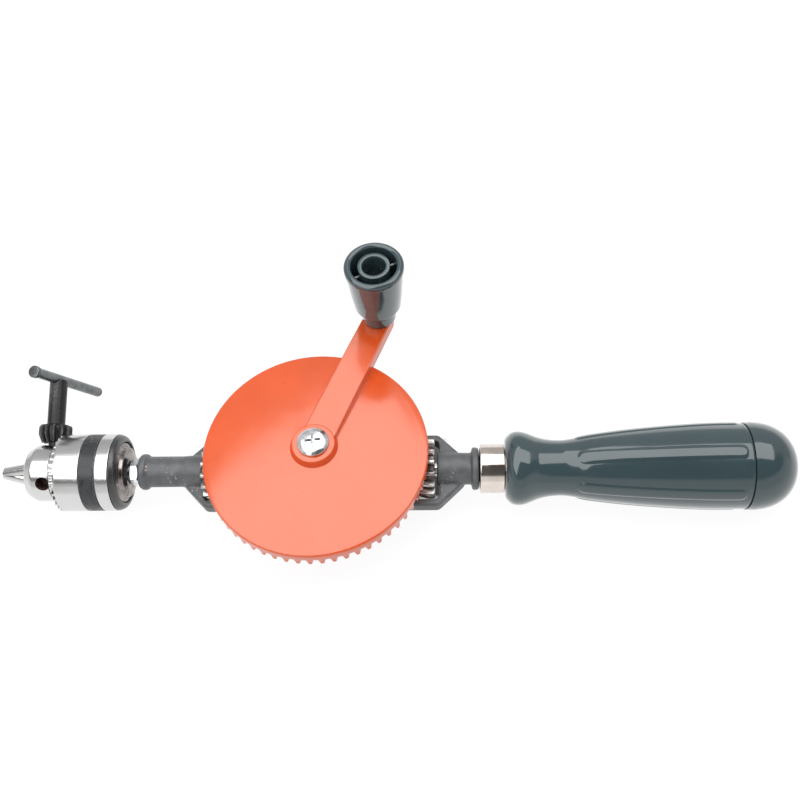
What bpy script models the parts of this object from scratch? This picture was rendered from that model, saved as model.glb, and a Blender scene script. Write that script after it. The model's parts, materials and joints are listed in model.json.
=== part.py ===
"""A hand drill with a keyed three-jaw chuck, a cast frame, a bevel gear wheel that drives two pinions, and a
hollow handle. The drill's axis lies along X, with the chuck at -X. The gear wheel's axis is Z, and crosses it.

Every sub-part is modelled about that crossing, and the whole then moves so that the origin is at the centre of
the bottom of its bounding box. Lengths are in metres.
"""

import math

import bmesh
import bpy
from mathutils import Matrix, Vector

MM = 0.001

# Driving dimensions: places along the drill's axis, measured from the gear wheel's axis.
JAW_TIP_X = -134.0 * MM
CAP_END_X = 194.7 * MM
HANDLE_R = 18.0 * MM
RIM_R = 45.4 * MM
GAP = 0.3 * MM

# Gear wheel and its two pinions. All three pitch cones meet where the axes cross.
WHEEL_TEETH = 60
PINION_TEETH = 15
WHEEL_MODULE = 1.5 * MM
WHEEL_INNER_SHARE = 0.82
WHEEL_BACKLASH = 0.15 * MM

# Chuck. The key's pinion and the sleeve's teeth have their common apex on the drill's axis at KEY_X.
KEY_X = -113.4 * MM
KEY_ELEVATION = math.radians(20)
SLEEVE_TEETH = 33
KEY_TEETH = 12
SLEEVE_PITCH_R = 15.75 * MM
KEY_MODULE = 2 * SLEEVE_PITCH_R / SLEEVE_TEETH
KEY_BACKLASH = 0.12 * MM
JAW_COUNT = 3
JAW_ROD_R = 2.5 * MM
JAW_SLOPE = 0.25
JAW_APEX_X = -133.7 * MM
JAW_REAR_X = -100.5 * MM
JAW_HALF_GAP = 0.17 * MM

# Spindle and frame.
SPINDLE_R = 4.0 * MM
AXLE_R = 3.0 * MM
WEB_HALF = 9.5 * MM
WINDOW_HALF_WIDTH = 13.45 * MM
PLATE_LOW_Z = -5.95 * MM
PLATE_TOP_Z = 0.1 * MM

# Crank.
CRANK_R = 66.73 * MM
CRANK_ANGLE = math.radians(68.3)
ARM_TOP_Z = 23.3 * MM
ARM_LOW_Z = 16.9 * MM
KNOB_X = CRANK_R * math.cos(CRANK_ANGLE)
KNOB_Y = CRANK_R * math.sin(CRANK_ANGLE)
KNOB_MOUTH_R = 12.2 * MM
WHEEL_BORE_R = 4.1 * MM

# Handle grip: raised ribs with round ends. The angle is from +Y to +Z.
RIB_COUNT = 6
RIB_ANGLE = math.radians(98.1)
RIB_HALF_WIDTH = 3.3 * MM
RIB_HEIGHT = 0.5 * MM
RIB_ENDS = (101.5 * MM, 171.5 * MM)
RIB_WIDTHS = (
    (0, 0.3),
    (1.0, 0.72),
    (3.3, 1.0),
    (21.5, 1.0),
    (36.5, 1.0),
    (51.5, 1.0),
    (66.7, 1.0),
    (69.0, 0.72),
    (70.0, 0.3),
)
GRIP_TAPER = (
    (94.0, 11.8),
    (99.5, 11.4),
    (105.0, 12.1),
    (110.0, 13.1),
    (123.0, 14.8),
    (138.0, 16.2),
    (153.0, 17.2),
    (162.0, 17.5),
    (173.0, 17.5),
)

# Key bar, in the key's own frame: its direction round the key, its height and its two ends.
BAR_TURN = math.radians(75.8)
BAR_HEIGHT = 40.3 * MM
BAR_R = 2.15 * MM
BAR_ENDS = (-17.0 * MM, 29.0 * MM)
KEY_SHAFT_R = 3.65 * MM

PRESSURE_ANGLE = math.radians(20)
ADDENDUM_SHARE = 0.8
DEDENDUM_SHARE = 1.05
SHARP_ANGLE = math.radians(32)
ORIGIN = Vector(
    (
        -(JAW_TIP_X + CAP_END_X) / 2,
        -(KNOB_Y + KNOB_MOUTH_R - RIM_R) / 2,
        HANDLE_R,
    )
)
ALONG_X = (0, math.pi / 2, 0)
ALONG_MINUS_X = (0, -math.pi / 2, 0)


def clear_scene():
    for obj in list(bpy.data.objects):
        bpy.data.objects.remove(obj, do_unlink=True)


def new_collection(name):
    collection = bpy.data.collections.new(name)
    bpy.context.scene.collection.children.link(collection)
    return collection


def new_material(name, colour, roughness, metallic):
    material = bpy.data.materials.new(name)
    material.use_nodes = True
    shader = material.node_tree.nodes["Principled BSDF"]
    shader.inputs["Base Color"].default_value = (*colour, 1)
    shader.inputs["Roughness"].default_value = roughness
    shader.inputs["Metallic"].default_value = metallic
    return material


clear_scene()
PARTS = new_collection("hand_drill")
CUTTERS = new_collection("cutters")
ROOT = bpy.data.objects.new("drill_axes_crossing", None)
ROOT.location = ORIGIN
PARTS.objects.link(ROOT)

STEEL = new_material("ground_steel", (0.62, 0.62, 0.61), 0.28, 1.0)
DARK_STEEL = new_material("blackened_steel", (0.06, 0.065, 0.07), 0.4, 0.9)
GEAR_STEEL = new_material("greased_gear_steel", (0.30, 0.27, 0.25), 0.4, 0.9)
ZINC = new_material("bright_zinc", (0.78, 0.80, 0.82), 0.22, 1.0)
FRAME_PAINT = new_material("grey_frame_paint", (0.115, 0.122, 0.13), 0.45, 0.0)
WHEEL_PAINT = new_material("orange_red_paint", (0.90, 0.12, 0.035), 0.22, 0.0)
NICKEL = new_material("polished_nickel", (0.74, 0.71, 0.66), 0.12, 1.0)
PLASTIC = new_material("dark_green_grey_plastic", (0.035, 0.062, 0.072), 0.22, 0.0)


def mm(points):
    """Points given in millimetres, in metres."""
    return [tuple(value * MM for value in point) for point in points]


def add_object(name, mesh, material, at=(0, 0, 0), turn=(0, 0, 0)):
    obj = bpy.data.objects.new(name, mesh)
    PARTS.objects.link(obj)
    obj.parent = ROOT
    obj.location = at
    obj.rotation_euler = turn
    if material is not None:
        mesh.materials.append(material)
    return obj


def as_cutter(obj):
    """Takes a helper out of the model, and keeps it for Booleans."""
    PARTS.objects.unlink(obj)
    CUTTERS.objects.link(obj)
    obj.hide_render = True
    obj.display_type = "WIRE"
    return obj


def combine(obj, other, operation):
    modifier = obj.modifiers.new(f"{operation.lower()}_{other.name}", "BOOLEAN")
    modifier.operation = operation
    modifier.object = as_cutter(other)


def turned(name, profile, steps, material, at=(0, 0, 0), turn=(0, 0, 0)):
    """Turns a profile of (height, radius) points, in millimetres, about the object's Z axis. A profile with an end
    on the axis is open; any other is a closed loop, which leaves a bore."""
    points = mm(profile)
    is_open = points[0][1] == 0 or points[-1][1] == 0
    area = sum(a[0] * b[1] - b[0] * a[1] for a, b in zip(points, points[1:] + points[:1]))
    if area < 0:
        points.reverse()
    edges = [(i, i + 1) for i in range(len(points) - 1)]
    if not is_open:
        edges.append((len(points) - 1, 0))
    mesh = bpy.data.meshes.new(name)
    mesh.from_pydata([(radius, 0, height) for height, radius in points], edges, [])
    obj = add_object(name, mesh, material, at, turn)
    screw = obj.modifiers.new("turn", "SCREW")
    screw.steps = steps
    screw.render_steps = steps
    screw.use_merge_vertices = True
    screw.merge_threshold = 0.00001
    return obj


def rod(name, radius, start, end, material=None, segments=20):
    """A cylinder, or a hexagonal bar with 6 segments, from one point to another."""
    start, end = Vector(start), Vector(end)
    along = end - start
    bm = bmesh.new()
    bmesh.ops.create_cone(
        bm, cap_ends=True, segments=segments, radius1=radius, radius2=radius, depth=along.length
    )
    mesh = bpy.data.meshes.new(name)
    bm.to_mesh(mesh)
    bm.free()
    turn = along.to_track_quat("Z", "Y").to_euler()
    return add_object(name, mesh, material, (start + end) / 2, turn)


def block(name, low, high, material=None, at=(0, 0, 0), turn=(0, 0, 0)):
    """A box between two corners, in the frame that at and turn give."""
    low, high = Vector(low), Vector(high)
    bm = bmesh.new()
    bmesh.ops.create_cube(bm, size=1)
    bmesh.ops.scale(bm, vec=high - low, verts=bm.verts)
    bmesh.ops.translate(bm, vec=(low + high) / 2, verts=bm.verts)
    mesh = bpy.data.meshes.new(name)
    bm.to_mesh(mesh)
    bm.free()
    return add_object(name, mesh, material, at, turn)


def plate(name, outline, low_z, high_z, material):
    """A flat outline, made solid between two heights."""
    curve = bpy.data.curves.new(name, "CURVE")
    curve.dimensions = "2D"
    curve.fill_mode = "BOTH"
    curve.extrude = (high_z - low_z) / 2
    spline = curve.splines.new("POLY")
    spline.points.add(len(outline) - 1)
    for point, (x, y) in zip(spline.points, outline):
        point.co = (x, y, 0, 1)
    spline.use_cyclic_u = True
    guide = add_object(name + "_outline", curve, None, (0, 0, (low_z + high_z) / 2))
    bpy.context.view_layer.update()
    mesh = bpy.data.meshes.new_from_object(guide.evaluated_get(bpy.context.evaluated_depsgraph_get()))
    bm = bmesh.new()
    bm.from_mesh(mesh)
    bmesh.ops.remove_doubles(bm, verts=bm.verts, dist=0.00001)
    bmesh.ops.recalc_face_normals(bm, faces=bm.faces)
    bm.to_mesh(mesh)
    bm.free()
    obj = add_object(name, mesh, material, guide.location)
    bpy.data.objects.remove(guide, do_unlink=True)
    return obj


def ring(angles, height, radius):
    """Points at these angles round the Z axis."""
    return [Vector((radius * math.cos(a), radius * math.sin(a), height)) for a in angles]


def bridge(bm, first, second):
    """Joins two rings of vertices. The finer ring has a whole multiple of the other's count."""
    fine, coarse = (first, second) if len(first) >= len(second) else (second, first)
    share = len(fine) // len(coarse)
    for i, corner in enumerate(coarse):
        run = [fine[(i * share + j) % len(fine)] for j in range(share + 1)]
        bm.faces.new(run + [coarse[(i + 1) % len(coarse)], corner])


def loft(name, rings, closed, material, at=(0, 0, 0), turn=(0, 0, 0)):
    """A skin through unlike rings. A closed one joins its last ring to its first, and any other gets two caps."""
    bm = bmesh.new()
    loops = [[bm.verts.new(point) for point in points] for points in rings]
    for first, second in zip(loops, loops[1:]):
        bridge(bm, first, second)
    if closed:
        bridge(bm, loops[-1], loops[0])
    else:
        bm.faces.new(loops[0])
        bm.faces.new(loops[-1])
    bmesh.ops.recalc_face_normals(bm, faces=bm.faces)
    bmesh.ops.triangulate(bm, faces=bm.faces)
    mesh = bpy.data.meshes.new(name)
    bm.to_mesh(mesh)
    bm.free()
    return add_object(name, mesh, material, at, turn)


class BevelGear:
    """Sections of a straight bevel gear whose apex is the origin and whose teeth face back towards it. Its tooth
    form is the involute of the spur gear that its back cone rolls out to."""

    def __init__(self, teeth, mate, module, backlash, phase, flank_steps):
        self.teeth = teeth
        self.cone = math.atan2(teeth, mate)
        self.pitch_r = module * teeth / 2
        self.virtual_r = self.pitch_r / math.cos(self.cone)
        self.back_apex = self.pitch_r / math.tan(self.cone) + self.pitch_r * math.tan(self.cone)
        self.half_thickness = (math.pi * module / 4 - backlash) / self.virtual_r
        self.phase = phase
        self.levels = [
            module * (-DEDENDUM_SHARE + (ADDENDUM_SHARE + DEDENDUM_SHARE) * i / flank_steps)
            for i in range(flank_steps + 1)
        ]

    def half_angle(self, radius):
        """Half a tooth's angle round the gear, at a radius of the rolled-out back cone."""
        base_r = self.virtual_r * math.cos(PRESSURE_ANGLE)
        angle = math.acos(min(1, base_r / radius))
        roll = math.tan(PRESSURE_ANGLE) - PRESSURE_ANGLE - math.tan(angle) + angle
        return (self.half_thickness + roll) / math.cos(self.cone)

    def outline(self):
        """(angle, rolled-out radius) up one flank and down the other, tooth by tooth."""
        points = []
        for tooth in range(self.teeth):
            centre = self.phase + 2 * math.pi * tooth / self.teeth
            for side, levels in ((-1, self.levels), (1, reversed(self.levels))):
                for level in levels:
                    radius = self.virtual_r + level
                    points.append((centre + side * self.half_angle(radius), radius))
        return points

    def section(self, share):
        """The toothed outline at a share of the outer cone distance."""
        return [
            Vector(
                (
                    radius * math.cos(self.cone) * math.cos(angle) * share,
                    radius * math.cos(self.cone) * math.sin(angle) * share,
                    (self.back_apex - radius * math.sin(self.cone)) * share,
                )
            )
            for angle, radius in self.outline()
        ]

    def coarse_angles(self, share):
        """Every so many of the outline's angles, for plain rings that join on to it."""
        return [angle for angle, _ in self.outline()][::share]


def at_height(points, height, spread=1.0):
    return [Vector((p.x * spread, p.y * spread, height)) for p in points]


def make_frame():
    outline = mm(
        [
            (-56.7, -6),
            (-46.5, -16.35),
            (49.05, -16.35),
            (59.3, -6),
            (59.3, 6),
            (49.05, 16.35),
            (-46.5, 16.35),
            (-56.7, 6),
        ]
    )
    frame = plate("frame", outline, PLATE_LOW_Z, PLATE_TOP_Z, FRAME_PAINT)
    for side, end_x in ((-1, -47.9 * MM), (1, 49.6 * MM)):
        near, far = sorted((side * WEB_HALF, end_x))
        window = block(
            f"window_{side}", (near, -WINDOW_HALF_WIDTH, -0.02), (far, WINDOW_HALF_WIDTH, 0.02)
        )
        combine(frame, window, "DIFFERENCE")
    barrel = turned(
        "barrel",
        [
            (-75.4, 0),
            (-75.4, 6.3),
            (-74.7, 7.2),
            (-73.3, 7.5),
            (-72.0, 7.1),
            (-71.1, 6.4),
            (-57.5, 6.4),
            (-48.4, 7.0),
            (-48.4, 0),
        ],
        24,
        None,
        turn=ALONG_X,
    )
    combine(frame, barrel, "UNION")
    neck = turned(
        "neck",
        [
            (48.6, 0),
            (48.6, 6.6),
            (50.4, 6.9),
            (62.5, 6.5),
            (63.0, 8.3),
            (64.3, 8.8),
            (65.4, 8.4),
            (65.8, 7.8),
            (65.8, 5.0),
            (103.6, 5.0),
            (103.6, 0),
        ],
        24,
        None,
        turn=ALONG_X,
    )
    combine(frame, neck, "UNION")
    bearing = turned(
        "web_bearing", [(-9.6, 0), (-9.6, 7.0), (9.6, 7.0), (9.6, 0)], 24, None, turn=ALONG_X
    )
    combine(frame, bearing, "UNION")
    boss = turned("web_boss", [(8, 0), (8, 9.0), (7.4, 9.45), (-7.4, 9.45), (-8, 9.0), (-8, 0)], 24, None)
    combine(frame, boss, "UNION")
    bores = (
        ("spindle_bore", SPINDLE_R + GAP, (-0.08, 0, 0), (-4.5 * MM, 0, 0)),
        ("idler_axle_bore", AXLE_R + GAP, (4.5 * MM, 0, 0), (58.4 * MM, 0, 0)),
        ("axle_screw_bore", AXLE_R + GAP, (0, 0, -0.01), (0, 0, 0.01)),
    )
    for name, radius, start, end in bores:
        combine(frame, rod(name, radius, start, end), "DIFFERENCE")


def make_spindle():
    spindle = rod("spindle", SPINDLE_R, (-104 * MM, 0, 0), (-4.9 * MM, 0, 0), ZINC, 24)
    hexagon = rod("spanner_hexagon", 5.6 * MM, (-79.2 * MM, 0, 0), (-75.8 * MM, 0, 0), None, 6)
    combine(spindle, hexagon, "UNION")
    combine(spindle, rod("spindle_pin_hole", 1.5 * MM, (-0.02, -0.01, 0), (-0.02, 0.01, 0)), "DIFFERENCE")
    turned(
        "thrust_washer",
        [(-10.9, 4.4), (-10.9, 6.6), (-9.9, 6.6), (-9.9, 4.4)],
        24,
        STEEL,
        turn=ALONG_X,
    )
    rod("drive_pinion_pin", 1.2 * MM, (-0.02, -6.3 * MM, 0), (-0.02, 6.3 * MM, 0), STEEL, 12)


def pinion(name, phase, bore_r, turn):
    gear = BevelGear(PINION_TEETH, WHEEL_TEETH, WHEEL_MODULE, WHEEL_BACKLASH, phase, 2)
    angles = gear.coarse_angles(3)
    face, hub_end, hub_r = 47.7 * MM, 11.2 * MM, 6.5 * MM
    outer = gear.section(1)
    inner = gear.section(WHEEL_INNER_SHARE)
    rings = [
        ring(angles, face, bore_r),
        at_height(outer, face, 0.97),
        at_height(outer, face - 0.6 * MM),
        outer,
        inner,
        ring(angles, 36.4 * MM, hub_r),
        ring(angles, hub_end, hub_r),
        ring(angles, hub_end, bore_r),
    ]
    return loft(name, rings, True, GEAR_STEEL, turn=turn)


def make_pinions():
    half_pitch = math.pi / PINION_TEETH
    drive = pinion("drive_pinion", half_pitch, SPINDLE_R + GAP, ALONG_MINUS_X)
    combine(drive, rod("hub_pin_hole", 1.5 * MM, (-0.02, -0.01, 0), (-0.02, 0.01, 0)), "DIFFERENCE")
    pinion("idler_pinion", 0, AXLE_R + GAP, ALONG_X)
    rod("idler_axle", AXLE_R, (4.9 * MM, 0, 0), (58 * MM, 0, 0), STEEL)
    turned("idler_washer", [(9.9, 3.4), (9.9, 6.6), (10.9, 6.6), (10.9, 3.4)], 24, STEEL, turn=ALONG_X)


def arm_outline(start, end, start_half, end_half):
    """A tapering bar from one distance to another along the crank, with a round far end."""
    along = Vector((math.cos(CRANK_ANGLE), math.sin(CRANK_ANGLE)))
    across = Vector((-along.y, along.x))
    points = [along * start + across * start_half, along * start - across * start_half]
    for i in range(9):
        angle = math.pi * (i / 8 - 0.5)
        points.append(along * (end + end_half * math.cos(angle)) + across * end_half * math.sin(angle))
    return [tuple(point) for point in points]


def make_crank_wheel():
    """The gear wheel and the crank's arm are one casting."""
    gear = BevelGear(WHEEL_TEETH, PINION_TEETH, WHEEL_MODULE, WHEEL_BACKLASH, 0, 1)
    angles = gear.coarse_angles(4)
    fine_angles = gear.coarse_angles(1)
    face = mm(
        [
            (8.4, 4.1),
            (23.9, 4.1),
            (23.9, 8.5),
            (23.5, 8.9),
            (20.9, 9.6),
            (20.4, 20),
            (19.7, 30),
            (18.9, 38),
            (18.2, 43.2),
            (17.8, 44.7),
            (17.1, 45.4),
        ]
    )
    back = mm([(14.6, 34), (16.4, 12.5), (15.6, 9.2), (8.4, 9.2)])
    rings = [ring(angles, height, radius) for height, radius in face]
    rings.append(ring(fine_angles, 14.2 * MM, RIM_R))
    rings.append(gear.section(1))
    rings.append(gear.section(WHEEL_INNER_SHARE))
    rings += [ring(angles, height, radius) for height, radius in back]
    wheel = loft("crank_wheel", rings, True, WHEEL_PAINT)
    arm = plate("crank_arm", arm_outline(5 * MM, CRANK_R, 6.6 * MM, 6.1 * MM), ARM_LOW_Z, ARM_TOP_Z, None)
    combine(wheel, arm, "UNION")
    tip_hole = rod("crank_tip_hole", AXLE_R + GAP, (KNOB_X, KNOB_Y, 0.01), (KNOB_X, KNOB_Y, 0.03))
    combine(wheel, tip_hole, "DIFFERENCE")


def make_axle():
    turned(
        "axle_screw",
        [
            (-12.9, 0),
            (-12.9, 2.4),
            (-12.3, 3.0),
            (8.3, 3.0),
            (8.3, 3.8),
            (24.2, 3.8),
            (24.2, 6.3),
            (25.0, 6.3),
            (25.8, 5.6),
            (26.3, 3.6),
            (26.5, 0),
        ],
        24,
        ZINC,
    )
    turned("axle_washer", [(-9.3, 3.3), (-9.3, 6.6), (-8.3, 6.6), (-8.3, 3.3)], 24, STEEL)
    nut = rod("axle_nut", 5.77 * MM, (0, 0, -12.3 * MM), (0, 0, -9.6 * MM), ZINC, 6)
    combine(nut, rod("nut_bore", AXLE_R + GAP, (0, 0, -0.02), (0, 0, 0)), "DIFFERENCE")


def make_knob():
    at = (KNOB_X, KNOB_Y, 0)
    floor_z, cavity_z = 35, 32
    knob = turned(
        "crank_knob",
        [
            (23.65, 3.4),
            (23.65, 7.5),
            (24.75, 7.8),
            (28.15, 9.9),
            (42.15, 10.9),
            (54.65, 12.1),
            (56.75, 12.2),
            (57.75, 11.7),
            (57.75, 11.1),
            (56.55, 10.5),
            (cavity_z, 8.6),
            (cavity_z, 6.9),
            (56.15, 6.6),
            (56.75, 6.2),
            (56.75, 5.0),
            (55.95, 4.6),
            (floor_z, 4.6),
            (floor_z, 3.4),
        ],
        28,
        PLASTIC,
        at,
    )
    for i in range(4):
        rib = block(
            f"knob_rib_{i}",
            (6.2 * MM, -0.5 * MM, 31.5 * MM),
            (9.4 * MM, 0.5 * MM, 54 * MM),
            None,
            at,
            (0, 0, CRANK_ANGLE + math.pi * (i + 0.5) / 2),
        )
        combine(knob, rib, "UNION")
    turned(
        "knob_screw",
        [
            (17.2, 0),
            (17.2, 2.9),
            (36.2, 2.9),
            (36.2, 4.2),
            (38.4, 4.2),
            (39.2, 3.6),
            (39.2, 2.0),
            (37.8, 1.6),
            (37.8, 0),
        ],
        20,
        ZINC,
        at,
    )
    turned("knob_washer", [(35.3, 3.4), (35.3, 4.3), (35.9, 4.3), (35.9, 3.4)], 24, STEEL, at)


def jaw_frame(angle):
    """A frame on the drill's axis, with Z along the jaw's bore and X outwards. The angle is from +Y to +Z."""
    outward = Vector((0, math.cos(angle), math.sin(angle)))
    z_axis = (Vector((1, 0, 0)) + outward * JAW_SLOPE).normalized()
    x_axis = (outward - z_axis * outward.dot(z_axis)).normalized()
    y_axis = z_axis.cross(x_axis)
    turn = Matrix((x_axis, y_axis, z_axis)).transposed()
    return Matrix.Translation((JAW_APEX_X, 0, 0)) @ turn.to_4x4()


def jaw_angles():
    return [KEY_ELEVATION + math.pi / 3 + 2 * math.pi * i / JAW_COUNT for i in range(JAW_COUNT)]


def key_hole_angles():
    return [KEY_ELEVATION + 2 * math.pi * i / JAW_COUNT for i in range(JAW_COUNT)]


def make_jaw(index, angle):
    """A round rod, cut to a 120 degree wedge that meets the other two jaws on the drill's axis."""
    frame = jaw_frame(angle)
    bm = bmesh.new()
    bmesh.ops.create_cone(
        bm, cap_ends=True, segments=20, radius1=JAW_ROD_R, radius2=JAW_ROD_R, depth=0.1, matrix=frame
    )
    planes = [
        (Vector((JAW_TIP_X, 0, 0)), Vector((-1, 0, 0))),
        (Vector((JAW_REAR_X, 0, 0)), Vector((1, 0, 0))),
    ]
    for side in (-1, 1):
        facing = angle + side * math.radians(150)
        normal = Vector((0, math.cos(facing), math.sin(facing)))
        planes.append((normal * -JAW_HALF_GAP, normal))
    for point, normal in planes:
        geometry = list(bm.verts) + list(bm.edges) + list(bm.faces)
        cut = bmesh.ops.bisect_plane(bm, geom=geometry, plane_co=point, plane_no=normal, clear_outer=True)
        rim = [item for item in cut["geom_cut"] if isinstance(item, bmesh.types.BMEdge)]
        bmesh.ops.holes_fill(bm, edges=rim, sides=0)
    bmesh.ops.transform(bm, matrix=frame.inverted(), verts=bm.verts)
    mesh = bpy.data.meshes.new(f"jaw_{index}")
    bm.to_mesh(mesh)
    bm.free()
    add_object(f"jaw_{index}", mesh, STEEL, frame.translation, frame.to_euler())


def make_chuck_body():
    body = turned(
        "chuck_body",
        [
            (-125.5, 4.3),
            (-125.5, 5.9),
            (-124.0, 6.9),
            (-122.0, 9.2),
            (-119.8, 10.8),
            (-118.0, 11.3),
            (-105.3, 11.3),
            (-105.3, 9.8),
            (-100.4, 9.8),
            (-100.4, 14.5),
            (-89.9, 14.5),
            (-89.9, 15.8),
            (-89.6, 16.1),
            (-84.6, 16.1),
            (-82.0, 13.6),
            (-81.7, 12.3),
            (-80.6, 12.0),
            (-79.6, 7.0),
            (-79.6, 4.3),
        ],
        32,
        STEEL,
        turn=ALONG_X,
    )
    for i, angle in enumerate(jaw_angles(), 1):
        frame = jaw_frame(angle)
        start, end = frame @ Vector((0, 0, 0.005)), frame @ Vector((0, 0, 0.0493))
        combine(body, rod(f"jaw_bore_{i}", JAW_ROD_R + GAP, start, end), "DIFFERENCE")
    for i, angle in enumerate(key_hole_angles(), 1):
        outward = Vector((0, math.cos(angle), math.sin(angle)))
        centre = Vector((KEY_X, 0, 0))
        start, end = centre + outward * 0.0072, centre + outward * 0.013
        combine(body, rod(f"key_hole_{i}", 2.9 * MM, start, end), "DIFFERENCE")


def make_chuck_sleeve():
    gear = BevelGear(
        SLEEVE_TEETH, KEY_TEETH, KEY_MODULE, KEY_BACKLASH, math.pi / 2 + KEY_ELEVATION, 1
    )
    angles = gear.coarse_angles(4)

    def plain(points):
        return [ring(angles, height * MM - KEY_X, radius * MM) for height, radius in points]

    rings = plain([(-110.5, 11.7), (-110.5, 12.2)])
    rings += [gear.section(0.8), gear.section(1)]
    rings += plain([(-106.2, 16.1), (-90.6, 16.1), (-90.3, 15.8), (-90.3, 14.9), (-105.4, 14.9), (-105.4, 11.7)])
    loft("chuck_sleeve", rings, True, STEEL, (KEY_X, 0, 0), ALONG_X)


def make_split_nut():
    """Two halves of a ring whose bore is the cone that the three jaws' outer edges lie on."""
    for name, side in (("chuck_nut_upper", 1), ("chuck_nut_lower", -1)):
        half = turned(
            name,
            [(-105.0, 10.2), (-105.0, 14.6), (-100.8, 14.6), (-100.8, 11.25)],
            32,
            DARK_STEEL,
            turn=ALONG_X,
        )
        far = 0.02 * side
        near = 0.2 * MM * side
        keep = block(f"{name}_side", (-0.11, -0.02, min(near, far)), (-0.095, 0.02, max(near, far)))
        combine(half, keep, "INTERSECT")


def make_key():
    gear = BevelGear(
        KEY_TEETH, SLEEVE_TEETH, KEY_MODULE, KEY_BACKLASH, math.pi / KEY_TEETH, 2
    )
    angles = gear.coarse_angles(3)
    outer = gear.section(1.05)
    rings = [
        ring(angles, 7.6 * MM, 2.0 * MM),
        ring(angles, 8.2 * MM, 2.6 * MM),
        ring(angles, 12.8 * MM, 2.6 * MM),
        gear.section(0.82),
        outer,
        at_height(outer, 19.3 * MM),
        at_height(outer, 20.1 * MM, 0.88),
        ring(angles, 20.1 * MM, KEY_SHAFT_R),
        ring(angles, 40.0 * MM, KEY_SHAFT_R),
    ]
    turn = (KEY_ELEVATION - math.pi / 2, 0, 0)
    at = (KEY_X, 0, 0)
    shaft = loft("key_shaft", rings, False, DARK_STEEL, at, turn)
    frame = Matrix.Translation(at) @ Matrix.Rotation(turn[0], 4, "X")
    along = Vector((math.cos(BAR_TURN), math.sin(BAR_TURN), 0))
    centre = Vector((0, 0, BAR_HEIGHT))
    near, far = (frame @ (centre + along * distance) for distance in (-0.01, 0.01))
    combine(shaft, rod("bar_seat", BAR_R + GAP, near, far), "DIFFERENCE")
    low, high = (value / MM for value in BAR_ENDS)
    radius = BAR_R / MM
    bar_turn = frame.to_3x3() @ along.to_track_quat("Z", "Y").to_matrix()
    turned(
        "key_bar",
        [
            (low, 0),
            (low, 2.3),
            (low + 0.5, 2.6),
            (low + 1.6, 2.55),
            (low + 3.2, radius),
            (high - 1.0, radius),
            (high - 0.3, 1.8),
            (high, 1.1),
            (high, 0),
        ],
        16,
        DARK_STEEL,
        frame @ centre,
        bar_turn.to_euler(),
    )


def grip_radius(x):
    """The grip's radius between its ribs, in metres, at a place along the drill."""
    points = mm(GRIP_TAPER)
    for (x0, r0), (x1, r1) in zip(points, points[1:]):
        if x <= x1:
            break
    return r0 + (r1 - r0) * (x - x0) / (x1 - x0)


def handle_rib(index):
    """A convex rib along the grip, sunk a little into it."""
    low, high = RIB_ENDS
    centre_angle = RIB_ANGLE + 2 * math.pi * index / RIB_COUNT
    rings = []
    for distance, width in RIB_WIDTHS:
        x = low + (high - low) * distance / 70
        crown = RIB_HEIGHT * min(1, width * width + 0.1)
        section = (
            (-1, -0.2 * MM),
            (-0.6, 0.64 * crown),
            (0, crown),
            (0.6, 0.64 * crown),
            (1, -0.2 * MM),
            (0.6, -1.5 * MM),
            (-0.6, -1.5 * MM),
        )
        base = grip_radius(x)
        ring_points = []
        for across, height in section:
            angle = centre_angle + across * width * RIB_HALF_WIDTH / base
            radius = base + height
            ring_points.append(Vector((x, radius * math.cos(angle), radius * math.sin(angle))))
        rings.append(ring_points)
    return loft(f"handle_rib_{index}", rings, False, None)


def make_handle():
    turned(
        "ferrule",
        [
            (66.2, 8.7),
            (66.2, 9.6),
            (66.7, 10.1),
            (75.5, 10.1),
            (76.0, 9.7),
            (76.0, 8.7),
        ],
        32,
        NICKEL,
        turn=ALONG_X,
    )
    grip = turned(
        "handle_grip",
        [
            (104.2, 0),
            (104.2, 5.4),
            (67.8, 5.4),
            (67.8, 8.4),
            (76.3, 8.4),
            (76.3, 11.0),
            (77.3, 12.9),
            (78.6, 14.2),
            (80.2, 15.0),
            (82.4, 15.2),
            (84.6, 14.8),
            (87.1, 13.9),
            (90.0, 12.75),
            *GRIP_TAPER,
            (173.0, 11.0),
            (112.0, 11.0),
            (112.0, 0),
        ],
        32,
        PLASTIC,
        turn=ALONG_X,
    )
    for i in range(RIB_COUNT):
        combine(grip, handle_rib(i), "UNION")
    turned(
        "handle_cap",
        [
            (194.7, 0),
            (194.4, 3.6),
            (193.3, 7.5),
            (191.5, 10.9),
            (189.1, 13.6),
            (186.0, 15.8),
            (182.0, 17.3),
            (177.5, 17.95),
            (174.0, 18.0),
            (173.4, 17.6),
            (173.4, 10.6),
            (163.0, 10.6),
            (163.0, 8.4),
            (186.0, 8.4),
            (186.0, 0),
        ],
        32,
        PLASTIC,
        turn=ALONG_X,
    )


def settle(obj):
    """Applies an object's modifiers, and shades its mesh smooth between sharp edges."""
    evaluated = obj.evaluated_get(bpy.context.evaluated_depsgraph_get())
    mesh = bpy.data.meshes.new_from_object(evaluated)
    mesh.shade_smooth()
    mesh.set_sharp_from_angle(angle=SHARP_ANGLE)
    obj.modifiers.clear()
    obj.data = mesh


def main():
    make_frame()
    make_spindle()
    make_pinions()
    make_crank_wheel()
    make_axle()
    make_knob()
    make_chuck_body()
    make_chuck_sleeve()
    make_split_nut()
    for index, angle in enumerate(jaw_angles(), 1):
        make_jaw(index, angle)
    make_key()
    make_handle()
    bpy.context.view_layer.update()
    for obj in PARTS.objects:
        if obj.type == "MESH":
            settle(obj)


main()
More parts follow.
